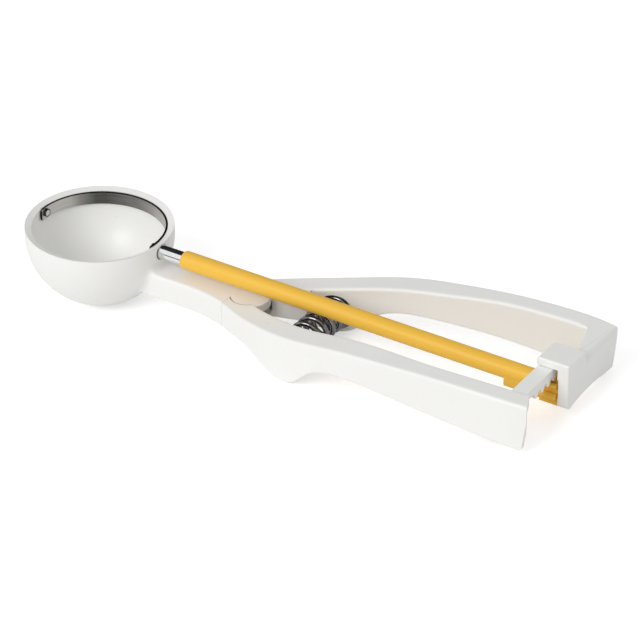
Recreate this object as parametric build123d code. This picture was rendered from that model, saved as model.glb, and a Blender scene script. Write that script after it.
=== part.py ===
"""Squeeze-handle ice cream scoop: bowl with a wiper blade, turned by a rack on the lever.

Design frame: the bowl's centre is the origin, the shaft lies along +X towards the handle, the
bowl opens towards +Z, and the levers open and close in the XY plane. The pieces are written
with the origin moved to the bottom centre of the whole object. Sizes are in millimetres.
"""
import os
from math import acos, cos, degrees, pi, radians, sin, sqrt, tan

from build123d import *

# Bowl
BOWL_R = 28.2
BOWL_WALL = 2.5
RIM_HEIGHT = 3.1
RIM_FALL = 0.9

# Neck, between the bowl and the knuckle
NECK_LENGTH = 39.4
NECK_HALF_WIDTH = 7.0
NECK_TOP = -6.0
NECK_BOTTOM = -15.8
NECK_BLEND = 2.5

# Knuckle: two ears of the body with the lever's tongue between them
KNUCKLE_R = 7.4
KNUCKLE_BOTTOM = -16.0
SEAT_IN_LEVER_R = 7.6
SLOT_R = 7.75
EAR_THICKNESS = 3.1
TONGUE_R = 6.9
PIN_R = 2.5
PIN_HEAD_R = 4.2
PIN_HEAD_HEIGHT = 1.3
PIN_ROOF = 1.4
STOP_SETBACK = 6.1

# Levers, measured from the pivot to the end
LEVER_LENGTH = 135.0
HALF_SPAN = 32.6
LEVER_WIDTH = 10.5
LEVER_END_WIDTH = 8.2
TAPER_START = 0.44
TAPER_END = 0.70
LEVER_TOP = 10.7
BUMP_PLACE = 27.6
BUMP_BOTTOM = -19.6
GRIP_BOTTOM = -5.0
END_BOTTOM = -8.6
SHELL_WALL = 1.8
SHELL_ROOF = 2.8
CHANNEL_START = 40.0
RIB_THICKNESS = 1.5
RIB_SPACING = 22.0
EDGE_ROUND = 1.2
UNDER_ROUND = 0.7
END_ROUND = 0.8
END_CORNER_ROUND = 1.6
END_LEAN = 1.7
KNUCKLE_ROUND = 0.4

# Shaft
STUB_R = 2.7
STUB_BARE_LENGTH = 9.8
STUB_GRIP_LENGTH = 16.0
SHAFT_R = 3.46
SHAFT_NOSE_ROUND = 1.2
STUB_NECK_R = 1.8
JOURNAL_R = 2.4
JOURNAL_LENGTH = 2.2
KEEL_LENGTH = 14.7
KEEL_DEPTH = 5.6

# Rack and sector pinion
SHAFT_SWEEP = 171.7
MODULE = 1.35
TEETH_ROUND = 8
PRESSURE_ANGLE = 25.0
PINION_ADDENDUM = 1.2
RACK_ADDENDUM = 0.96
ROOT_CLEARANCE = 0.25
BACKLASH = 0.32
PINION_PHASE = 12.7
PINION_TEETH = 5
PINION_LENGTH = 7.2
RACK_END_GAP = 0.4
RACK_TEETH = 5
ARM_WIDTH = 5.65
ARM_THICKNESS = 3.1
ARM_TIP = 3.4

# Hook and end wall
END_WALL = 4.3
CORNER_DEPTH = 8.6
CORNER_ROUND = 2.0
CROWN_ROUND = 4.0
CROWN_END_ROUND = 1.2
ARCH_RISE = 1.85
HOOK_LENGTH = 12.9
HOOK_WIDTH = 12.6
HOOK_FRONT = -5.2
HOOK_TOP = 13.1
HOOK_ROUND = 0.8
ARM_SETBACK = 11.9

# Spring
SPRING_R = 6.1
SPRING_WIRE_R = 0.75
SPRING_TURNS = 9
SPRING_HEIGHT = -11.2
SPRING_SEAT = 16.6
SEAT_R = 7.2
SPIGOT_R = 4.2
SPIGOT_LENGTH = 4.5

# Wiper blade
BLADE_WIDTH = 5.0
BLADE_THICKNESS = 0.6
BLADE_PAST_AXIS = 2.9
BLADE_REST_ANGLE = -1.1
BLADE_CORNER = 0.6
EYE_R = 1.5
PEEN_R = 2.2
PEEN_HEIGHT = 0.7
RIVET_R = 1.2
RIVET_HEAD_R = 1.6
RIVET_HEAD_HEIGHT = 0.8
RIVET_SINK_R = 2.2
RIVET_SINK_DEPTH = 1.0

# Clearances
RUNNING = 0.05
SLIDE_GAP = 0.2
STOP_GAP = 0.1
SEAT_GAP = 0.25
BLADE_GAP = 0.35

# Worked-out places
BOWL_INNER_R = BOWL_R - BOWL_WALL
PIVOT_X = BOWL_R + NECK_LENGTH
END_X = PIVOT_X + LEVER_LENGTH
STOP_X = PIVOT_X - STOP_SETBACK
BUMP_X = PIVOT_X + BUMP_PLACE
ARM_X = END_X - ARM_SETBACK
PITCH_R = MODULE * TEETH_ROUND / 2
PITCH = pi * MODULE
RACK_R = ARM_X + ARM_WIDTH / 2 - PIVOT_X
SWING = PITCH_R * radians(SHAFT_SWEEP) / RACK_R
SHOULDER_Y = HOOK_FRONT - SLIDE_GAP - LEVER_LENGTH * sin(SWING)
RACK_ROOT_Z = PITCH_R + PINION_ADDENDUM + ROOT_CLEARANCE
ARM_TOP = RACK_ROOT_Z + ARM_THICKNESS
END_HALF = HALF_SPAN * 0.96
BLADE_R = BOWL_INNER_R - BLADE_GAP
MIDDLE_X = (END_X - BOWL_R) / 2
FAR = 60.0
SECTION_SPACING = 3.0


def side_line():
    """Plan points of the outer side, from the neck along the fixed lever to its end."""
    neck = [(-25.0, NECK_HALF_WIDTH), (-15.6, 7.8), (-8.0, 9.6), (-0.6, 13.3)]
    grip = [(0.062, 0.54), (0.166, 0.70), (0.3145, 0.851), (0.5, 0.94)]
    grip += [(0.6855, 0.9865), (0.819, 1.0), (0.908, 0.9955), (1.0, 0.96)]
    points = [(PIVOT_X + x, y) for x, y in neck]
    return points + [(PIVOT_X + LEVER_LENGTH * x, HALF_SPAN * y) for x, y in grip]


def lever_width(x):
    """Width of a lever's top, which narrows past the middle."""
    share = ((x - PIVOT_X) / LEVER_LENGTH - TAPER_START) / (TAPER_END - TAPER_START)
    share = min(max(share, 0), 1)
    return LEVER_WIDTH - (LEVER_WIDTH - LEVER_END_WIDTH) * share**2 * (3 - 2 * share)


def inner_line():
    """Plan points of a lever's inner side."""
    return [(x, y - lever_width(x)) for x, y in side_line()]


def inside(line, shift):
    """Plan of everything on the axis side of a line that is moved inwards by shift."""
    points = [(x, y - shift) for x, y in line]
    root = (BOWL_R - 8, points[0][1])
    edges = [Line(root, points[0]), Spline(*points)]
    edges += [Line(points[-1], (END_X, -FAR)), Line((END_X, -FAR), (root[0], -FAR))]
    return make_face(edges + [Line((root[0], -FAR), root)])


def upright(face, low=-FAR, high=FAR):
    """Prism over a plan face, from height low to height high."""
    return extrude(Pos(0, 0, low) * face, high - low)


def top_line(drop=0.0):
    """Side view of the top: level on the neck, rising along the lever."""
    rise = LEVER_TOP - NECK_TOP
    grip = [(0.092, 0.125), (0.24, 0.347), (0.389, 0.622), (0.537, 0.792)]
    grip += [(0.685, 0.917), (0.834, 0.985), (0.93, 1.0), (1.02, 0.97)]
    points = [(BOWL_R - 12, NECK_TOP - 0.45 - drop), (BOWL_R + 4, NECK_TOP - 0.33 - drop)]
    points += [(BOWL_R + NECK_LENGTH / 2, NECK_TOP - 0.2 - drop), (STOP_X, NECK_TOP - drop)]
    points += [(PIVOT_X + LEVER_LENGTH * x, NECK_TOP + rise * z - drop) for x, z in grip]
    return points


def bottom_line():
    """Side view of the underside: neck, finger bump and grip."""
    reach = END_X - BUMP_X
    points = [(PIVOT_X - 8.0, NECK_BOTTOM - 0.3), (PIVOT_X + 1.0, NECK_BOTTOM + 0.5)]
    points += [(PIVOT_X + 8.4, NECK_BOTTOM + 0.9)]
    points += [(BUMP_X - 6.5, BUMP_BOTTOM + 0.8), (BUMP_X, BUMP_BOTTOM)]
    points += [(BUMP_X + 0.063 * reach, BUMP_BOTTOM + 2.0)]
    points += [(BUMP_X + 0.138 * reach, BUMP_BOTTOM + 9.3)]
    points += [(BUMP_X + 0.213 * reach, GRIP_BOTTOM - 1.6)]
    points += [(BUMP_X + 0.353 * reach, GRIP_BOTTOM)]
    points += [(BUMP_X + 0.6 * reach, GRIP_BOTTOM - 0.9)]
    points += [(BUMP_X + 0.813 * reach, GRIP_BOTTOM - 1.9)]
    points += [(END_X + 2.0, END_BOTTOM)]
    return points


def under_top(drop):
    """Everything below the top line lowered by drop."""
    top = top_line(drop)
    right = (top[-1][0], -FAR)
    left = (top[0][0], -FAR)
    edges = [Spline(*top), Line(top[-1], right)]
    edges += [Line(right, left), Line(left, top[0])]
    return extrude(Plane.XZ * make_face(edges), FAR, both=True)


def box(x, y, z):
    """Box between two corners, given as a pair along each axis."""
    size = (x[1] - x[0], y[1] - y[0], z[1] - z[0])
    middle = ((x[0] + x[1]) / 2, (y[0] + y[1]) / 2, (z[0] + z[1]) / 2)
    return Pos(*middle) * Box(*size)


def post(radius, low, high, x=PIVOT_X):
    """Upright cylinder between two heights, on the pivot unless said otherwise."""
    return Pos(x, 0, (low + high) / 2) * Cylinder(radius, high - low)


def along_x(radius, start, end):
    """Cylinder on the shaft's axis between two places along it."""
    return Pos((start + end) / 2, 0, 0) * Rot(0, 90, 0) * Cylinder(radius, end - start)


def along_y(radius, start, end):
    """Cylinder across the levers, on the spring's axis."""
    place = Pos(BUMP_X, (start + end) / 2, SPRING_HEIGHT)
    return place * Rot(90, 0, 0) * Cylinder(radius, end - start)


def polygon(points):
    """Flat face inside straight edges."""
    return make_face(Polyline(*points, close=True))


def bowl_outside():
    """Outer sphere up to the rim, whose lip falls inwards."""
    rim_r = sqrt(BOWL_R**2 - RIM_HEIGHT**2)
    inner_z = RIM_HEIGHT - RIM_FALL
    inner_r = sqrt(BOWL_INNER_R**2 - inner_z**2)
    low = (0, -BOWL_R)
    middle = (BOWL_R * cos(radians(-42)), BOWL_R * sin(radians(-42)))
    edges = [ThreePointArc(low, middle, (rim_r, RIM_HEIGHT))]
    edges += [Line((rim_r, RIM_HEIGHT), (inner_r, inner_z)), Line((inner_r, inner_z), (0, inner_z))]
    edges += [Line((0, inner_z), low)]
    return revolve(Plane.XZ * make_face(edges), Axis.Z)


def at_x(line, x):
    """Point where a line that runs along X passes x."""
    low, high = 0.0, 1.0
    for _ in range(24):
        middle = (low + high) / 2
        if (line @ middle).X < x:
            low = middle
        else:
            high = middle
    return line @ low


def section(x, lever):
    """Rounded cross-section of a lever, or of the whole neck."""
    side = at_x(Spline(*side_line()), x).Y
    top = at_x(Spline(*top_line()), x).Y
    low = at_x(Spline(*bottom_line()), x).Y
    inner = at_x(Spline(*inner_line()), x).Y if lever else -side
    face = polygon([(inner, low), (side, low), (side, top), (inner, top)])
    face = fillet(face.vertices().group_by(Axis.Y)[-1], EDGE_ROUND)
    face = fillet(face.vertices().group_by(Axis.Y)[0], UNDER_ROUND)
    return Plane((x, 0, 0), x_dir=(0, 1, 0), z_dir=(1, 0, 0)) * face


def lofted(start, end, lever=False):
    """Bar through cross-sections between two places along X."""
    count = max(3, round((end - start) / SECTION_SPACING))
    return loft([section(start + (end - start) * step / count, lever) for step in range(count + 1)])


def lever_band(start):
    """Solid lever on the +Y side, with its outer end corner rounded."""
    band = lofted(start, END_X, lever=True)
    middle = (END_X - END_ROUND, END_HALF - END_ROUND)
    corner = box((middle[0], END_X + 1), (middle[1], FAR), (-FAR, FAR))
    return band - (corner - Pos(*middle) * Cylinder(END_ROUND, 2 * FAR))


def channel(end):
    """Hollow of the +Y lever, open below, in cells between cross ribs."""
    start = PIVOT_X + CHANNEL_START
    plan = inside(side_line(), SHELL_WALL) - inside(inner_line(), -SHELL_WALL)
    reach = box((start, end), (0, FAR), (-FAR, FAR))
    hollow = upright(plan) & under_top(SHELL_ROOF) & reach
    rib = start + RIB_SPACING
    while rib < end - RIB_SPACING / 2:
        hollow -= box((rib, rib + RIB_THICKNESS), (0, FAR), (-FAR, FAR))
        rib += RIB_SPACING
    return hollow


def bowl_and_neck():
    """Bowl shell with the neck blended into it."""
    whole = bowl_outside() + lofted(BOWL_R - 8, STOP_X)
    seam = []
    for edge in whole.edges():
        middle = edge @ 0.5
        if abs(middle.length - BOWL_R) < 0.02 and middle.Z < NECK_TOP + 1 and middle.X > 15:
            seam.append(edge)
    whole = fillet(seam, NECK_BLEND)
    return whole - Sphere(BOWL_INNER_R)


def spring_side():
    """Thickening of the fixed lever beside the knuckle, up to the spring."""
    inner = [(PIVOT_X + 2.4, 0), (PIVOT_X + 5.8, 4.6), (PIVOT_X + 18.9, 8.5)]
    points = inner + [(PIVOT_X + 19.9, 14), (PIVOT_X + 8, 14), (PIVOT_X, 6)]
    return upright(polygon(points), low=KNUCKLE_BOTTOM + 0.6) & under_top(0.3)


def spring_seat():
    """Pocket for the spring's end in the +Y lever, and the spigot left standing in it."""
    pocket = along_y(SEAT_R, 0, SPRING_SEAT)
    spigot = along_y(SPIGOT_R, SPRING_SEAT - SPIGOT_LENGTH, SPRING_SEAT + 1)
    spigot = chamfer(spigot.edges().group_by(Axis.Y)[0], 0.8)
    return pocket, spigot


def arch():
    """Space above the arched underside of the handle's end."""
    low = END_BOTTOM + 2.9
    points = [(HOOK_FRONT, low), (HOOK_FRONT + 8.2, low + 0.8 * ARCH_RISE)]
    points += [(HOOK_FRONT + 16.2, low + ARCH_RISE), (END_HALF - 10, low + 0.1)]
    points += [(END_HALF + 1, low - 1.9)]
    edges = [Spline(*points), Line(points[-1], (END_HALF + 1, FAR))]
    edges += [Line((END_HALF + 1, FAR), (HOOK_FRONT, FAR)), Line((HOOK_FRONT, FAR), points[0])]
    face = make_face(edges)
    corner = face.vertices().sort_by_distance(Vertex(points[0][0], points[0][1], 0))[0]
    return Pos(PIVOT_X, 0, 0) * extrude(Plane.YZ * fillet(corner, 2.0), LEVER_LENGTH + 5)


def crown(y, radius):
    """Corner outside the rounded top edge of the end face, at one place across it."""
    top = at_x(Spline(*top_line()), END_X).Y + 0.05
    start = (END_X - radius, top)
    end = (END_X, top - radius)
    middle = (END_X - radius + radius * sin(pi / 4), top - radius + radius * cos(pi / 4))
    edges = [ThreePointArc(start, middle, end), Line(end, (END_X + 3, top - radius))]
    edges += [Line((END_X + 3, top - radius), (END_X + 3, top + 3))]
    edges += [Line((END_X + 3, top + 3), (END_X - radius, top + 3))]
    edges += [Line((END_X - radius, top + 3), start)]
    return Plane((0, y, 0), x_dir=(1, 0, 0), z_dir=(0, -1, 0)) * make_face(edges)


def end_wall():
    """Wall across the handle's end, thicker towards the lever and arched below."""
    inner = END_X - END_WALL
    deep = END_X - CORNER_DEPTH
    side = END_HALF - LEVER_END_WIDTH + 1.6
    plan = [(inner, HOOK_FRONT), (END_X, HOOK_FRONT), (END_X, side + 3), (deep - 2.8, side + 3)]
    plan += [(deep - 2.8, side), (deep, side), (inner - 2.2, side - 6.7)]
    plan += [(inner, HOOK_FRONT + HOOK_WIDTH + 1.1)]
    face = polygon(plan)
    corner = face.vertices().sort_by_distance(Vertex(deep, side, 0))[0]
    face = fillet(corner, CORNER_ROUND)
    face = fillet(face.vertices().group_by(Axis.Y)[0], HOOK_ROUND)
    return upright(face) & under_top(-0.05) & arch()


def hook():
    """Hook over the rack arm, flush with the end face."""
    left = END_X - HOOK_LENGTH
    inner = END_X - END_WALL
    back = HOOK_FRONT + HOOK_WIDTH
    low = ARM_TOP + SEAT_GAP
    face = polygon([(left, HOOK_FRONT), (END_X, HOOK_FRONT), (END_X, back), (left, back)])
    face = fillet(face.vertices().group_by(Axis.Y)[0], HOOK_ROUND)
    face = fillet(face.vertices().sort_by_distance(Vertex(left, back, 0))[0], HOOK_ROUND)
    block = upright(face)
    face = polygon([(HOOK_FRONT, 0), (HOOK_FRONT, HOOK_TOP), (back, HOOK_TOP - 0.4), (back, 0)])
    face = fillet(face.vertices().sort_by(Axis.Y)[2:], HOOK_ROUND)
    block &= extrude(Plane.YZ * face, END_X + 1)
    side = [(left, low), (inner, low), (inner, low - 4), (END_X, low - 4), (END_X, FAR)]
    side += [(left + 1, FAR), (left + 1, HOOK_TOP), (left, HOOK_TOP - 1)]
    return block & extrude(Plane.XZ * polygon(side), FAR, both=True)


def leaning_end():
    """Space beyond the end face, which leans in at the fixed lever's lower corner."""
    face = Plane((END_X, END_HALF, LEVER_TOP - 2.5), z_dir=(1, END_LEAN / 27, -END_LEAN / 16))
    return extrude(face * Rectangle(4 * END_HALF, 4 * END_HALF), END_HALF)


def scoop_body():
    """Bowl, neck, ears, fixed lever, end wall and hook in one moulding."""
    pocket, spigot = spring_seat()
    lever = lever_band(STOP_X) + spring_side() - pocket + spigot
    lever -= channel(END_X - CORNER_DEPTH + 1)
    lever -= box((END_X - 7, END_X + 1), (0, FAR), (-FAR, 0)) - arch()
    back = HOOK_FRONT + HOOK_WIDTH
    crowns = [crown(back, CROWN_ROUND), crown(END_HALF + 1, CROWN_END_ROUND)]
    handle = lever + end_wall() - loft(crowns) + hook() - leaning_end()
    disc = post(KNUCKLE_R, KNUCKLE_BOTTOM, NECK_TOP)
    disc = fillet(disc.edges().group_by(Axis.Z)[-1], KNUCKLE_ROUND)
    body = bowl_and_neck() + handle + disc
    body -= post(SLOT_R, KNUCKLE_BOTTOM + EAR_THICKNESS, NECK_TOP - EAR_THICKNESS)
    body -= post(PIN_R, -FAR, NECK_TOP - PIN_ROOF)
    body -= post(PIN_HEAD_R + SLIDE_GAP, -FAR, KNUCKLE_BOTTOM + PIN_HEAD_HEIGHT)
    body -= along_x(STUB_NECK_R + RUNNING, 0, STOP_X - 20)
    body -= along_x(JOURNAL_R + RUNNING, END_X - END_WALL - 1, END_X - END_WALL + 2.0)
    body -= rivet(RUNNING)
    return body


def squeeze_lever():
    """Moving lever with its tongue, rack arm and teeth in one moulding."""
    pocket, spigot = spring_seat()
    half = lever_band(STOP_X + STOP_GAP) - pocket + spigot - channel(ARM_X - SHELL_WALL)
    under = upright(inside(side_line(), SHELL_WALL), high=RACK_ROOT_Z + 0.35)
    half -= under & box((ARM_X, END_X), (0, FAR), (-FAR, FAR))
    low = KNUCKLE_BOTTOM + EAR_THICKNESS + SLIDE_GAP
    high = NECK_TOP - EAR_THICKNESS - SLIDE_GAP
    link = half & post(SEAT_IN_LEVER_R, low, high)
    half = half - post(SEAT_IN_LEVER_R, -FAR, FAR) + link
    lever = mirror(half, Plane.XZ) & lever_end()
    arm = upright(arm_plan(), RACK_ROOT_Z, ARM_TOP) & lever_end()
    lever = lever + arm + rack_teeth() + post(TONGUE_R, low, high)
    return lever - post(PIN_R + RUNNING, -FAR, FAR)


def arm_plan():
    """Rack arm from above, with its root in the lever."""
    right = ARM_X + ARM_WIDTH
    root = 0.5 - END_HALF
    points = [(ARM_X, ARM_TIP), (right, ARM_TIP), (right, SHOULDER_Y)]
    return polygon(points + [(right + 2.2, SHOULDER_Y - 3), (right + 4, root), (ARM_X, root)])


def lever_end():
    """Space the moving lever may fill: its leaning end, and clear of the end wall."""
    right = ARM_X + ARM_WIDTH
    plan = [(0, FAR), (right, FAR), (right, SHOULDER_Y), (right + 2.2, SHOULDER_Y - 3)]
    plan += [(right + 4, 1 - END_HALF), (right + 4.8, -END_HALF - 1), (right + 5, -FAR), (0, -FAR)]
    under = Spline(*bottom_line())
    low = END_X - 3.4
    lean = [(0, FAR), (END_X - 1.4, FAR), (END_X - 1.4, 10), (END_X - 1.6, 5)]
    lean += [(low, at_x(under, low).Y), (low - 5, at_x(under, low - 5).Y), (low - 5, -FAR), (0, -FAR)]
    face = polygon(lean)
    corner = face.vertices().sort_by_distance(Vertex(lean[4][0], lean[4][1], 0))[0]
    return upright(polygon(plan)) & extrude(Plane.XZ * fillet(corner, END_CORNER_ROUND), FAR, both=True)


def rack_teeth():
    """Rack teeth under the arm, each lying along a line through the pivot."""
    low = PITCH_R - RACK_ADDENDUM
    high = RACK_ROOT_Z + 0.1
    slope = tan(radians(PRESSURE_ANGLE))
    half = (PITCH - BACKLASH) / 4
    tip = half - RACK_ADDENDUM * slope
    root = half + (high - PITCH_R) * slope
    face = polygon([(-tip, low), (tip, low), (root, high), (-root, high)])
    ridge = Pos(ARM_X - PIVOT_X - 3, 0, 0) * extrude(Plane.YZ * face, ARM_WIDTH + 6)
    first = PITCH_R * radians(180 / TEETH_ROUND - PINION_PHASE)
    teeth = Part()
    for number in range(RACK_TEETH):
        swing = degrees((first - number * PITCH) / RACK_R)
        teeth += Pos(PIVOT_X, 0, 0) * Rot(0, 0, swing) * ridge
    return teeth & upright(arm_plan(), 0, FAR)


def pinion_tooth():
    """Involute tooth pointing along +Y, as a prism over the pinion's length."""
    base_r = PITCH_R * cos(radians(PRESSURE_ANGLE))
    outer_r = PITCH_R + PINION_ADDENDUM
    start = tan(radians(PRESSURE_ANGLE)) - radians(PRESSURE_ANGLE)
    half = (PITCH - BACKLASH) / 4 / PITCH_R
    flank = []
    for step in range(5):
        radius = base_r + (outer_r - base_r) * step / 4
        opening = acos(base_r / radius)
        turn = half + start - (tan(opening) - opening)
        flank.append((radius * cos(turn), radius * sin(turn)))
    foot = (flank[0][0] * 0.8, flank[0][1] * 0.8)
    upper = [foot] + flank
    lower = [(y, -z) for y, z in reversed(upper)]
    return extrude(Plane.YZ * polygon(upper + lower), PINION_LENGTH)


def pinion_shaft():
    """Shaft with keel, sector pinion and journal in one moulding."""
    start = BOWL_R + STUB_BARE_LENGTH
    pinion_end = END_X - END_WALL - RACK_END_GAP
    pinion_start = pinion_end - PINION_LENGTH
    shaft = along_x(SHAFT_R, start, pinion_end)
    shaft = fillet(shaft.edges().group_by(Axis.X)[0], SHAFT_NOSE_ROUND)
    keel = box((pinion_start - KEEL_LENGTH, pinion_start), (-3.3, 3.3), (-KEEL_DEPTH, 0))
    low = keel.edges().filter_by(Axis.X).group_by(Axis.Z)[0]
    keel = fillet(low, 1.5)
    root_r = PITCH_R - RACK_ADDENDUM - ROOT_CLEARANCE
    shaft = shaft + keel + along_x(root_r, pinion_start, pinion_end)
    for number in range(PINION_TEETH):
        angle = 90 + PINION_PHASE + 360 / TEETH_ROUND * number
        shaft += Pos(pinion_start, 0, 0) * Rot(angle, 0, 0) * pinion_tooth()
    shaft += along_x(JOURNAL_R, pinion_end - 1, pinion_end + JOURNAL_LENGTH)
    return shaft - along_x(STUB_R, 0, start + STUB_GRIP_LENGTH)


def pivot_pin():
    """Headed pin of the knuckle, put in from below."""
    pin = post(PIN_R, KNUCKLE_BOTTOM, NECK_TOP - PIN_ROOF)
    pin = chamfer(pin.edges().group_by(Axis.Z)[-1], 0.4)
    head = post(PIN_HEAD_R, KNUCKLE_BOTTOM, KNUCKLE_BOTTOM + PIN_HEAD_HEIGHT)
    return pin + fillet(head.edges().group_by(Axis.Z)[0], 0.5)


def return_spring():
    """Compression coil between the two levers."""
    length = 2 * SPRING_SEAT - 2 * SPRING_WIRE_R
    coil = Helix(length / SPRING_TURNS, length, SPRING_R)
    wire = Plane(coil @ 0, z_dir=coil % 0) * Circle(SPRING_WIRE_R)
    spring = sweep(wire, path=coil, is_frenet=True)
    return Pos(BUMP_X, length / 2, SPRING_HEIGHT) * Rot(90, 0, 0) * spring


def ring_inside():
    """Space inside the blade's inner face."""
    return Cylinder(BLADE_R - BLADE_THICKNESS, 4 * BLADE_WIDTH)


def blade_stub():
    """Steel stub: grip in the shaft, journal in the bowl's wall, spigot peened over the blade."""
    end = BOWL_R + STUB_BARE_LENGTH + STUB_GRIP_LENGTH
    stub = along_x(STUB_R, BOWL_R + 0.1, end) + along_x(STUB_NECK_R, BLADE_R + 0.01, BOWL_R + 1)
    stub += along_x(EYE_R, BLADE_R - BLADE_THICKNESS - 0.3, BLADE_R + 1)
    peen = along_x(PEEN_R, BLADE_R - BLADE_THICKNESS - PEEN_HEIGHT, BLADE_R) & ring_inside()
    return Rot(BLADE_REST_ANGLE, 0, 0) * (stub + peen)


def wiper_blade():
    """Thin half ring just inside the bowl, with an eye near each end."""
    band = Cylinder(BLADE_R, BLADE_WIDTH) - Cylinder(BLADE_R - BLADE_THICKNESS, BLADE_WIDTH)
    band &= box((-FAR, FAR), (-BLADE_PAST_AXIS, FAR), (-FAR, FAR))
    ends = band.edges().filter_by(lambda e: abs((e @ 0.5).Y + BLADE_PAST_AXIS) < 0.01)
    corners = ends.filter_by(lambda e: abs(abs((e @ 0.5).Z) - BLADE_WIDTH / 2) < 0.01)
    band = fillet(corners, BLADE_CORNER)
    band -= along_x(EYE_R, 0, FAR) + along_x(RIVET_R, -FAR, 0)
    return Rot(BLADE_REST_ANGLE, 0, 0) * band


def rivet(gap=0.0):
    """Stud of the blade's far end; with a gap, the room it turns in."""
    tip = -BOWL_R + 0.05
    stud = along_x(RIVET_R + gap, tip, -BLADE_R + BLADE_THICKNESS + 0.2)
    sink = Rot(0, 90, 0) * Cone(RIVET_SINK_R + gap, RIVET_R + gap, RIVET_SINK_DEPTH)
    sink = Pos(tip + RIVET_SINK_DEPTH / 2, 0, 0) * sink
    room = along_x(RIVET_SINK_R + gap, tip - 1, tip)
    return stud + sink + room if gap else stud + sink


def tip_rivet():
    """Stud that carries the blade's far end in the bowl's wall."""
    start = -BLADE_R + BLADE_THICKNESS
    head = along_x(RIVET_HEAD_R, start - 0.5, start + RIVET_HEAD_HEIGHT) & ring_inside()
    return Rot(BLADE_REST_ANGLE, 0, 0) * (rivet() + head)


PIECES = [scoop_body, squeeze_lever, pivot_pin, return_spring]
PIECES += [pinion_shaft, blade_stub, wiper_blade, tip_rivet]

if __name__ == "__main__":
    os.makedirs("parts", exist_ok=True)
    for make in PIECES:
        piece = Pos(-MIDDLE_X, 0, BOWL_R) * make()
        piece.label = make.__name__
        export_step(piece, "parts/" + make.__name__ + ".step")
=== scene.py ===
"""Looks of the squeeze-handle ice cream scoop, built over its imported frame."""
import math

import bmesh
import bpy
from mathutils import Matrix, Vector


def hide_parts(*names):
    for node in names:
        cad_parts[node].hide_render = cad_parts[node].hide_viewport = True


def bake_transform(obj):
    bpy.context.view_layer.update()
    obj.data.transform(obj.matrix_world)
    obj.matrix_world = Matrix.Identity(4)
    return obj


bl_info = {
    "name": "Lever ice cream scoop",
    "version": (1, 0, 0),
    "blender": (4, 5, 0),
    "location": "3D View > Sidebar > Scoop",
    "description": "Finishes the lever ice cream scoop and its studio stage",
    "category": "Object",
}

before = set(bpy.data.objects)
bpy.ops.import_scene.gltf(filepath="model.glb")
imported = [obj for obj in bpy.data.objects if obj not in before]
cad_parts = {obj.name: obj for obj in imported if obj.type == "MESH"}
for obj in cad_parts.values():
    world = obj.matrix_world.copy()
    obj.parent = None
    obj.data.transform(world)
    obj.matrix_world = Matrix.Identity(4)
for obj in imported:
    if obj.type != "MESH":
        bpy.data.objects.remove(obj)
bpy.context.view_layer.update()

# Places and sizes of the solids, in metres
MM = 0.001
BOWL_CENTRE = Vector((-87.2, 0.0, 28.2)) * MM
BOWL_RADIUS = 28.2 * MM
BLADE_RADIUS = 25 * MM
SPRING_PLACE = Vector((8.0, 0.0, 17.0)) * MM
PIVOT_PLACE = Vector((-19.6, 0.0, 0.0)) * MM

# Colours of dirt and wear, and of painted shade and painted reflection
GRIME = (0.62, 0.60, 0.55)
AMBER = (0.70, 0.36, 0.05)
BORE_SHADE = (0.05, 0.05, 0.045)
SEAM_SHADE = (0.16, 0.155, 0.135)
STAIN = (0.24, 0.21, 0.18)
DARK_REFLECTION_STEEL = (0.05, 0.048, 0.045)
EDGE_SHADE_STEEL = (0.02, 0.019, 0.018)
RIVET_RIM_SHADE = (0.07, 0.068, 0.065)

# Winding of the spring
WIRE_SIDES = 14
STEPS_PER_TURN = 40
CLOSED_SPACING = 1.02

# Stage
FLOOR_RADIUS = 2.0
FLOOR_GAP = 0.02 * MM
FLOOR_GLOW = 0.45
FLOOR_GLOW_IN_GLOSS = 0.4
LIGHT_ON_OBJECT = 0.57
CARD_REACH = 2.2
PICTURE = 640
SENSOR = 36


class ScoopSizes(bpy.types.PropertyGroup):
    """Sizes of the pieces that are modelled here."""
    wire_radius: bpy.props.FloatProperty(
        name="Spring wire radius", description="Radius of the spring's wire",
        default=1.05 * MM, min=0.3 * MM, unit="LENGTH")
    coil_radius: bpy.props.FloatProperty(
        name="Spring coil radius", description="Radius of the coil, to the middle of the wire",
        default=5.3 * MM, min=3 * MM, unit="LENGTH")
    seat_distance: bpy.props.FloatProperty(
        name="Spring seat distance", description="From the middle of the spring to each seat",
        default=16.6 * MM, min=5 * MM, unit="LENGTH")
    coil_turns: bpy.props.IntProperty(
        name="Spring turns", description="Open turns between the two closed ends",
        default=6, min=2)


class ScoopColours(bpy.types.PropertyGroup):
    """Colours of the finishes."""
    body: bpy.props.FloatVectorProperty(
        name="Body plastic", description="Colour of the bowl, frame and lever",
        default=(0.93, 0.928, 0.905), size=3, subtype="COLOR", min=0, max=1)
    shaft: bpy.props.FloatVectorProperty(
        name="Shaft plastic", description="Colour of the shaft and its pinion",
        default=(0.93, 0.55, 0.065), size=3, subtype="COLOR", min=0, max=1)
    blade: bpy.props.FloatVectorProperty(
        name="Blade steel", description="Colour of the wiper blade",
        default=(0.52, 0.51, 0.49), size=3, subtype="COLOR", min=0, max=1)
    bright: bpy.props.FloatVectorProperty(
        name="Bright steel", description="Colour of the stub, rivet and pin",
        default=(0.78, 0.78, 0.79), size=3, subtype="COLOR", min=0, max=1)
    spring: bpy.props.FloatVectorProperty(
        name="Spring steel", description="Colour of the return spring",
        default=(0.19, 0.19, 0.20), size=3, subtype="COLOR", min=0, max=1)


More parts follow.
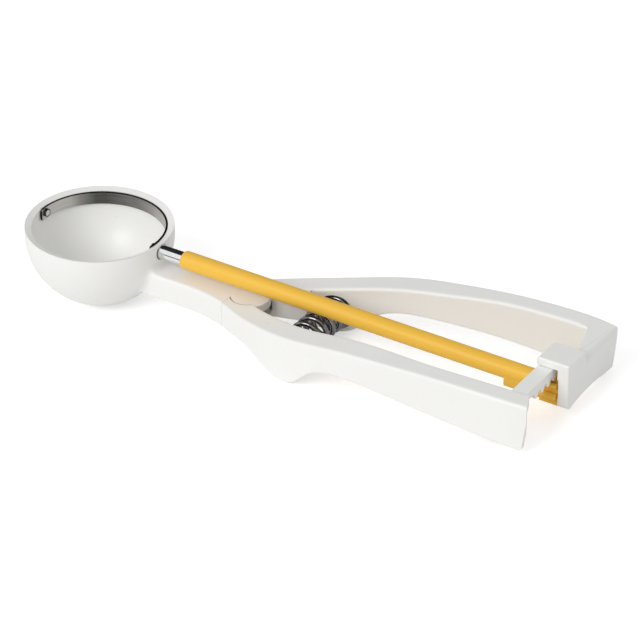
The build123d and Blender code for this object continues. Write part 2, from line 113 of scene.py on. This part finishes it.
class Finish:
    """A new material and short ways to add nodes to it."""

    def __init__(self, name):
        self.material = bpy.data.materials.new(name)
        self.material.use_nodes = True
        self.tree = self.material.node_tree
        self.shader = self.tree.nodes["Principled BSDF"]
        self.where = self.add("ShaderNodeTexCoord").outputs["Object"]

    def add(self, kind, **settings):
        """New node with its settings."""
        node = self.tree.nodes.new(kind)
        for key, value in settings.items():
            setattr(node, key, value)
        return node

    def link(self, source, target):
        self.tree.links.new(source, target)

    def give(self, value, socket):
        """Link another node's output to a socket, or set it to a plain value."""
        if isinstance(value, bpy.types.NodeSocket):
            self.link(value, socket)
        else:
            socket.default_value = value

    def noise(self, scale, detail=3.0, rough=0.5, stretch=(1, 1, 1), source=None):
        """Noise over the object, finer along an axis where stretch is larger."""
        mapping = self.add("ShaderNodeMapping")
        mapping.inputs["Scale"].default_value = stretch
        self.link(source or self.where, mapping.inputs["Vector"])
        node = self.add("ShaderNodeTexNoise")
        node.inputs["Scale"].default_value = scale
        node.inputs["Detail"].default_value = detail
        node.inputs["Roughness"].default_value = rough
        self.link(mapping.outputs["Vector"], node.inputs["Vector"])
        return node.outputs["Fac"]

    def span(self, source, low, high, start=0.3, end=0.7):
        """Map what lies from start to end to the range from low to high."""
        node = self.add("ShaderNodeMapRange")
        node.inputs["From Min"].default_value = start
        node.inputs["From Max"].default_value = end
        node.inputs["To Min"].default_value = low
        node.inputs["To Max"].default_value = high
        self.link(source, node.inputs["Value"])
        return node.outputs["Result"]

    def mix(self, factor, first, second):
        """Mix of two colours by a factor."""
        node = self.add("ShaderNodeMix", data_type="RGBA")
        self.link(factor, node.inputs["Factor"])
        for value, socket in ((first, node.inputs["A"]), (second, node.inputs["B"])):
            self.give((*value, 1) if isinstance(value, tuple) else value, socket)
        return node.outputs["Result"]

    def math(self, operation, first, second):
        """Result of a sum on two values."""
        node = self.add("ShaderNodeMath", operation=operation)
        for value, socket in zip((first, second), node.inputs):
            self.give(value, socket)
        return node.outputs["Value"]

    def bump(self, height, strength, distance, below=None):
        """Normal over a height, laid on the bump below it."""
        node = self.add("ShaderNodeBump")
        node.inputs["Strength"].default_value = strength
        node.inputs["Distance"].default_value = distance
        self.link(height, node.inputs["Height"])
        if below:
            self.link(below, node.inputs["Normal"])
        return node.outputs["Normal"]

    def measured_from(self, place):
        """X, Y and Z measured from a place."""
        mapping = self.add("ShaderNodeMapping")
        mapping.inputs["Location"].default_value = -place
        self.link(self.where, mapping.inputs["Vector"])
        parts = self.add("ShaderNodeSeparateXYZ")
        self.link(mapping.outputs["Vector"], parts.inputs["Vector"])
        return parts.outputs["X"], parts.outputs["Y"], parts.outputs["Z"]

    def away(self, first, second):
        """Distance from an axis, by the two coordinates across it."""
        squares = [self.math("MULTIPLY", part, part) for part in (first, second)]
        return self.math("SQRT", self.math("ADD", *squares), 0.0)

    def paint_shade(self, mask, colour):
        """Lay a colour of painted shade over the finish where the mask is."""
        socket = self.shader.inputs["Base Color"]
        under = socket.links[0].from_socket
        self.link(self.mix(mask, under, colour), socket)
        return self

    def set(self, **values):
        """Set or link the shader's own sockets, underscores standing for blanks."""
        for key, value in values.items():
            self.give(value, self.shader.inputs[key.replace("_", " ")])
        return self


def shade(colour, factor):
    """A colour made darker or lighter."""
    return tuple(min(1.0, part * factor) for part in colour)


def moulded_plastic(name, colour, rough, grime):
    """Injection-moulded plastic: fine spark texture, soft flow marks and light scuffs."""
    finish = Finish(name)
    cloud = finish.noise(38, detail=4)
    patch = finish.mix(finish.span(cloud, 0, 1), shade(colour, 0.985), shade(colour, 1.012))
    speck = finish.noise(160, detail=6, rough=0.65)
    tint = finish.mix(finish.span(speck, 0, 0.5, 0.66, 0.80), patch, grime)
    scuff = finish.noise(420, detail=2, stretch=(0.12, 1, 1))
    marks = finish.span(scuff, 0, 0.10, 0.60, 0.72)
    base_rough = finish.span(cloud, rough - 0.04, rough + 0.05)
    grain = finish.noise(2600, detail=2)
    ripple = finish.noise(90, detail=1)
    normal = finish.bump(grain, 0.10, 0.04 * MM)
    normal = finish.bump(ripple, 0.12, 0.25 * MM, normal)
    finish.set(Base_Color=tint, Roughness=finish.math("ADD", base_rough, marks), Normal=normal)
    return finish.set(IOR=1.49)


def shaded_bore(finish):
    """Painted shade: a dark ring in the plastic round the stub, where it goes into the bowl."""
    along, across, up = finish.measured_from(BOWL_CENTRE)
    bore = finish.span(finish.away(across, up), 0.85, 0, 3.0 * MM, 3.3 * MM)
    below = finish.span(up, 1, 0, 1.8 * MM, 2.4 * MM)
    near = finish.span(along, 1, 0, 34 * MM, 36 * MM)
    mask = finish.math("MULTIPLY", finish.math("MULTIPLY", bore, below), near)
    return finish.paint_shade(mask, BORE_SHADE)


def shaded_seam(finish):
    """Painted shade: a thin dark line along the lever's edge round the knuckle."""
    along, across, _ = finish.measured_from(PIVOT_PLACE)
    seam = finish.span(finish.away(along, across), 0.8, 0, 7.75 * MM, 8.0 * MM)
    return finish.paint_shade(seam, SEAM_SHADE)


def round_the_bowl(finish):
    """Coordinates along the blade, the turn about the bowl, and the places across and up."""
    along, across, up = finish.measured_from(BOWL_CENTRE)
    turn = finish.math("ARCTAN2", across, along)
    joined = finish.add("ShaderNodeCombineXYZ")
    finish.link(finish.math("MULTIPLY", turn, BLADE_RADIUS), joined.inputs["X"])
    finish.link(up, joined.inputs["Y"])
    return joined.outputs["Vector"], turn, across, up


def blade_finish(colour):
    """Rolled strip steel with grinding lines and stains, a painted dark reflection across the
    middle and painted shade along the top edge and the ends.
    """
    finish = Finish("blade_steel")
    along, turn, across, up = round_the_bowl(finish)
    lines = finish.noise(900, detail=5, stretch=(0.03, 2.6, 1), source=along)
    broad = finish.noise(130, detail=3, stretch=(0.7, 1, 1), source=along)
    streak = finish.span(lines, 0, 1, 0.25, 0.75)
    tint = finish.mix(streak, shade(colour, 0.66), shade(colour, 1.3))
    tint = finish.mix(finish.span(broad, 0, 0.35, 0.5, 0.75), tint, STAIN)
    # Painted reflection: the middle of the blade is darkened by its turn about the bowl
    # The turns are in radians from the stub
    dark_reflection = finish.math("MULTIPLY", finish.span(turn, 0, 0.8, 1.15, 2.1),
                       finish.span(turn, 1, 0, 2.25, 2.65))
    tint = finish.mix(dark_reflection, tint, DARK_REFLECTION_STEEL)
    # The blade lies turned by 1.1 degrees, so its top edge falls across the bowl
    top = finish.math("ADD", up, finish.math("MULTIPLY", across, 0.0192))
    # Painted shade along the blade's top edge and its end faces, where the gap to the bowl lies
    # in shadow
    edge_shade = finish.math("MAXIMUM", finish.span(across, 1, 0, -2.9 * MM, -2.5 * MM),
                          finish.span(top, 0, 0.9, 2.1 * MM, 2.3 * MM))
    tint = finish.mix(edge_shade, tint, EDGE_SHADE_STEEL)
    normal = finish.bump(lines, 0.25, 0.03 * MM)
    finish.set(Base_Color=tint, Roughness=finish.span(lines, 0.24, 0.42), Normal=normal)
    return finish.set(Metallic=1.0, Anisotropic=0.5)


def rivet_finish(colour):
    """Peened head, bright in the middle, with painted shade dark round its edge."""
    finish = Finish("rivet_peened")
    _, across, up = finish.measured_from(BOWL_CENTRE)
    # Painted shade round the rim of the head
    dark = finish.span(finish.away(across, up), 0, 1, 1.05 * MM, 1.25 * MM)
    marks = finish.noise(900, detail=2)
    tint = finish.mix(dark, finish.mix(marks, shade(colour, 0.8), colour), RIVET_RIM_SHADE)
    finish.set(Base_Color=tint, Roughness=finish.span(marks, 0.22, 0.40))
    return finish.set(Metallic=1.0)


def turned_steel(name, colour, rough, stretch):
    """Bright steel with fine tool lines and faint smears."""
    finish = Finish(name)
    lines = finish.noise(700, detail=4, stretch=stretch)
    smear = finish.noise(150, detail=2)
    tint = finish.mix(finish.span(lines, 0, 1), shade(colour, 0.93), shade(colour, 1.06))
    base = finish.span(smear, rough * 0.8, rough * 1.5)
    normal = finish.bump(lines, 0.12, 0.02 * MM)
    finish.set(Base_Color=tint, Roughness=base, Normal=normal)
    return finish.set(Metallic=1.0)


def wire_finish(colour):
    """Dark oiled spring wire with drawing marks."""
    finish = Finish("spring_wire")
    marks = finish.noise(500, detail=4)
    tint = finish.mix(finish.span(marks, 0, 1), shade(colour, 0.7), shade(colour, 1.5))
    rough = finish.span(finish.noise(260, detail=3), 0.06, 0.12)
    finish.set(Base_Color=tint, Roughness=rough, Normal=finish.bump(marks, 0.1, 0.03 * MM))
    return finish.set(Metallic=1.0)


def plain_material(name, colour, rough):
    """Even material of the stage."""
    material = bpy.data.materials.new(name)
    material.use_nodes = True
    shader = material.node_tree.nodes["Principled BSDF"]
    shader.inputs["Base Color"].default_value = (*colour, 1)
    shader.inputs["Roughness"].default_value = rough
    return material


def colours():
    return bpy.context.scene.scoop_colours


def sizes():
    return bpy.context.scene.scoop_sizes


def dress(node, finish):
    """Give a carried-over solid its finish."""
    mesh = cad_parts[node].data
    mesh.materials.clear()
    mesh.materials.append(finish.material)


def object_from(name, bm, material):
    """Object of a finished bmesh."""
    mesh = bpy.data.meshes.new(name)
    bm.to_mesh(mesh)
    bm.free()
    mesh.materials.append(material)
    made = bpy.data.objects.new(name, mesh)
    bpy.context.scene.collection.objects.link(made)
    return made


def new_piece(name, bm, finish):
    """Smooth piece of the scoop."""
    piece = object_from(name, bm, finish.material)
    for face in piece.data.polygons:
        face.use_smooth = True
    return piece


class SCOOP_OT_mouldings(bpy.types.Operator):
    """Finish the two white mouldings and the yellow shaft"""
    bl_idname = "scoop.mouldings"
    bl_label = "Mouldings"

    def execute(self, context):
        body = tuple(colours().body)
        dress("scoop_body", shaded_bore(moulded_plastic("body_white", body, 0.36, GRIME)))
        dress("squeeze_lever", shaded_seam(moulded_plastic("lever_white", body, 0.37, GRIME)))
        shaft = moulded_plastic("shaft_yellow", tuple(colours().shaft), 0.40, AMBER)
        dress("pinion_shaft", shaft.set(Specular_IOR_Level=0.35))
        return {"FINISHED"}


class SCOOP_OT_steel(bpy.types.Operator):
    """Finish the blade, the stub, the rivet and the pin"""
    bl_idname = "scoop.steel"
    bl_label = "Steel parts"

    def execute(self, context):
        bright = tuple(colours().bright)
        dull = shade(bright, 0.85)
        dress("wiper_blade", blade_finish(tuple(colours().blade)))
        dress("blade_stub", turned_steel("stub_bright", bright, 0.07, (3, 1, 1)))
        dress("tip_rivet", rivet_finish(dull))
        dress("pivot_pin", turned_steel("pin_bright", dull, 0.28, (1, 1, 1)))
        return {"FINISHED"}


class SCOOP_OT_spring(bpy.types.Operator):
    """Wind the return spring with closed ends between the two levers"""
    bl_idname = "scoop.spring"
    bl_label = "Return spring"

    def execute(self, context):
        wire = sizes().wire_radius
        coil = sizes().coil_radius
        seat = sizes().seat_distance
        turns = sizes().coil_turns
        bm = bmesh.new()
        start = Matrix.Translation(SPRING_PLACE + Vector((coil, wire - seat, 0)))
        bmesh.ops.create_circle(
            bm, cap_ends=True, radius=wire, segments=WIRE_SIDES, matrix=start)
        bm.faces.ensure_lookup_table()
        leading = bm.faces[0]
        closed = 2 * wire * CLOSED_SPACING
        open_pitch = (2 * seat - 2 * wire - 2 * closed) / turns
        for pitch, count in ((closed, 1), (open_pitch, turns), (closed, 1)):
            made = bmesh.ops.spin(
                bm, geom=[leading, *leading.edges, *leading.verts], cent=SPRING_PLACE,
                axis=(0, 1, 0), dvec=(0, pitch / STEPS_PER_TURN, 0), angle=math.tau * count,
                steps=STEPS_PER_TURN * count, use_duplicate=False)
            leading = next(
                item for item in made["geom_last"] if isinstance(item, bmesh.types.BMFace))
        bmesh.ops.recalc_face_normals(bm, faces=bm.faces)
        piece = new_piece("coil", bm, wire_finish(tuple(colours().spring)))
        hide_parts("return_spring")
        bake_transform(piece)
        return {"FINISHED"}


class SCOOP_OT_stage(bpy.types.Operator):
    """Set the pale floor, the world, the soft lamp, the dark cards and the camera"""
    bl_idname = "scoop.stage"
    bl_label = "Studio stage"

    def execute(self, context):
        scene = context.scene
        scene.view_settings.view_transform = "Standard"
        self.floor()
        self.world(scene)
        self.lamp("key", (-0.36, -1.44, 1.18), 1.1, 14.5)
        self.card("ceiling", [(-0.42, 1.7), (1.7, 1.7), (1.7, 0.02)])
        self.card("skirting", [(-0.42, -0.08), (-0.42, 0.075)])
        self.camera(scene)
        return {"FINISHED"}

    def floor(self):
        """Disc under the bowl and the finger bumps."""
        bm = bmesh.new()
        bmesh.ops.create_circle(bm, cap_ends=True, radius=FLOOR_RADIUS, segments=96)
        floor = object_from("floor", bm, self.floor_material())
        tilt = self.rest_tilt()
        down = Vector((math.sin(tilt), 0, -math.cos(tilt)))
        floor.location = BOWL_CENTRE + down * BOWL_RADIUS - Vector((0, 0, FLOOR_GAP))
        floor.rotation_euler = (0, -tilt, 0)

    def floor_material(self):
        """White to the camera, a little dimmer in reflections, and clear from below."""
        material = plain_material("floor_white", (0.93, 0.93, 0.93), 0.9)
        nodes, links = material.node_tree.nodes, material.node_tree.links
        glow = nodes.new("ShaderNodeEmission")
        glow.inputs["Strength"].default_value = FLOOR_GLOW
        path = nodes.new("ShaderNodeLightPath")
        seen = nodes.new("ShaderNodeMath")
        seen.operation = "MULTIPLY_ADD"
        links.new(path.outputs["Is Glossy Ray"], seen.inputs[0])
        seen.inputs[1].default_value = FLOOR_GLOW_IN_GLOSS
        links.new(path.outputs["Is Camera Ray"], seen.inputs[2])
        links.new(seen.outputs["Value"], glow.inputs["Color"])
        both = nodes.new("ShaderNodeAddShader")
        links.new(nodes["Principled BSDF"].outputs["BSDF"], both.inputs[0])
        links.new(glow.outputs["Emission"], both.inputs[1])
        clear = nodes.new("ShaderNodeBsdfTransparent")
        side = nodes.new("ShaderNodeNewGeometry")
        pick = nodes.new("ShaderNodeMixShader")
        links.new(side.outputs["Backfacing"], pick.inputs["Fac"])
        links.new(both.outputs["Shader"], pick.inputs[1])
        links.new(clear.outputs["BSDF"], pick.inputs[2])
        links.new(pick.outputs["Shader"], nodes["Material Output"].inputs["Surface"])
        return material

    def rest_tilt(self):
        """Tilt of a floor that touches the bowl and the lever's finger bump."""
        past_the_knuckle = 60 * MM
        tilt = None
        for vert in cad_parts["squeeze_lever"].data.vertices:
            offset = vert.co - BOWL_CENTRE
            reach = math.hypot(offset.x, offset.z)
            if offset.x > past_the_knuckle and reach > BOWL_RADIUS:
                angle = math.asin(BOWL_RADIUS / reach) - math.atan2(-offset.z, offset.x)
                tilt = angle if tilt is None else min(tilt, angle)
        return tilt

    def card(self, name, line):
        """Dark card along X through points (y, z), seen only in reflections."""
        bm = bmesh.new()
        verts = [bm.verts.new((-CARD_REACH, y, z)) for y, z in line]
        edges = [bm.edges.new(pair) for pair in zip(verts, verts[1:])]
        made = bmesh.ops.extrude_edge_only(bm, edges=edges)
        moved = [item for item in made["geom"] if isinstance(item, bmesh.types.BMVert)]
        bmesh.ops.translate(bm, verts=moved, vec=(2 * CARD_REACH, 0, 0))
        black = plain_material(name + "_black", (0.02, 0.02, 0.022), 1.0)
        card = object_from(name, bm, black)
        card.visible_camera = False
        card.visible_diffuse = False
        card.visible_transmission = False
        card.visible_shadow = False

    def world(self, scene):
        """White to camera and reflections, and a plain level of light on the object."""
        world = bpy.data.worlds.new("studio")
        world.use_nodes = True
        scene.world = world
        nodes, links = world.node_tree.nodes, world.node_tree.links
        background = nodes["Background"]
        path = nodes.new("ShaderNodeLightPath")
        seen = nodes.new("ShaderNodeMath")
        seen.operation = "MAXIMUM"
        links.new(path.outputs["Is Camera Ray"], seen.inputs[0])
        links.new(path.outputs["Is Glossy Ray"], seen.inputs[1])
        level = nodes.new("ShaderNodeMapRange")
        level.inputs["To Min"].default_value = LIGHT_ON_OBJECT
        level.inputs["To Max"].default_value = 1.0
        links.new(seen.outputs["Value"], level.inputs["Value"])
        links.new(level.outputs["Result"], background.inputs["Strength"])
        background.inputs["Color"].default_value = (1, 1, 1, 1)

    def lamp(self, name, place, size, power):
        """Soft disk lamp that points at the object."""
        light = bpy.data.lights.new(name, "AREA")
        light.shape = "DISK"
        light.size = size
        light.energy = power
        lamp = bpy.data.objects.new(name, light)
        lamp.location = place
        lamp.rotation_euler = (-Vector(place)).to_track_quat("-Z", "Y").to_euler()
        bpy.context.scene.collection.objects.link(lamp)

    def camera(self, scene):
        """Long lens from above the lever's side, bowl to the left and handle to the right."""
        azimuth, elevation, roll = (math.radians(angle) for angle in (32.31, 32.56, 0.09))
        # Metres to the bowl's centre, the focal length in pixels, and the centre's own pixel
        distance, focal = 1.3, 3471.8
        bowl_x, bowl_y = 99.78, 230.5
        back = Vector((math.sin(azimuth) * math.cos(elevation),
                       -math.cos(azimuth) * math.cos(elevation), math.sin(elevation)))
        right = Vector((0, 0, 1)).cross(back).normalized()
        up = back.cross(right)
        turned = Matrix((right, up, back)).transposed().to_4x4() @ Matrix.Rotation(roll, 4, "Z")
        across = (bowl_x - PICTURE / 2) * distance / focal
        above = (PICTURE / 2 - bowl_y) * distance / focal
        lens = bpy.data.cameras.new("camera")
        lens.lens = focal / PICTURE * SENSOR
        lens.sensor_width = SENSOR
        camera = bpy.data.objects.new("camera", lens)
        camera.matrix_world = turned
        side = turned.col[0].xyz * across + turned.col[1].xyz * above
        camera.location = BOWL_CENTRE + back * distance - side
        scene.collection.objects.link(camera)
        scene.camera = camera


class SCOOP_PT_panel(bpy.types.Panel):
    """Buttons and settings of the scoop"""
    bl_idname = "SCOOP_PT_panel"
    bl_label = "Lever ice cream scoop"
    bl_space_type = "VIEW_3D"
    bl_region_type = "UI"
    bl_category = "Scoop"

    def draw(self, context):
        layout = self.layout
        for group in (sizes(), colours()):
            for name in group.bl_rna.properties.keys():
                if name not in ("rna_type", "name"):
                    layout.prop(group, name)
        for operator in OPERATORS:
            layout.operator(operator.bl_idname)


OPERATORS = (SCOOP_OT_mouldings, SCOOP_OT_steel, SCOOP_OT_spring, SCOOP_OT_stage)
CLASSES = (ScoopSizes, ScoopColours, *OPERATORS, SCOOP_PT_panel)


def register():
    for cls in CLASSES:
        bpy.utils.register_class(cls)
    bpy.types.Scene.scoop_sizes = bpy.props.PointerProperty(type=ScoopSizes)
    bpy.types.Scene.scoop_colours = bpy.props.PointerProperty(type=ScoopColours)


def unregister():
    del bpy.types.Scene.scoop_sizes
    del bpy.types.Scene.scoop_colours
    for cls in reversed(CLASSES):
        bpy.utils.unregister_class(cls)


def main():
    register()
    bpy.ops.scoop.mouldings()
    bpy.ops.scoop.steel()
    bpy.ops.scoop.spring()
    bpy.ops.scoop.stage()


if __name__ == "__main__":
    main()
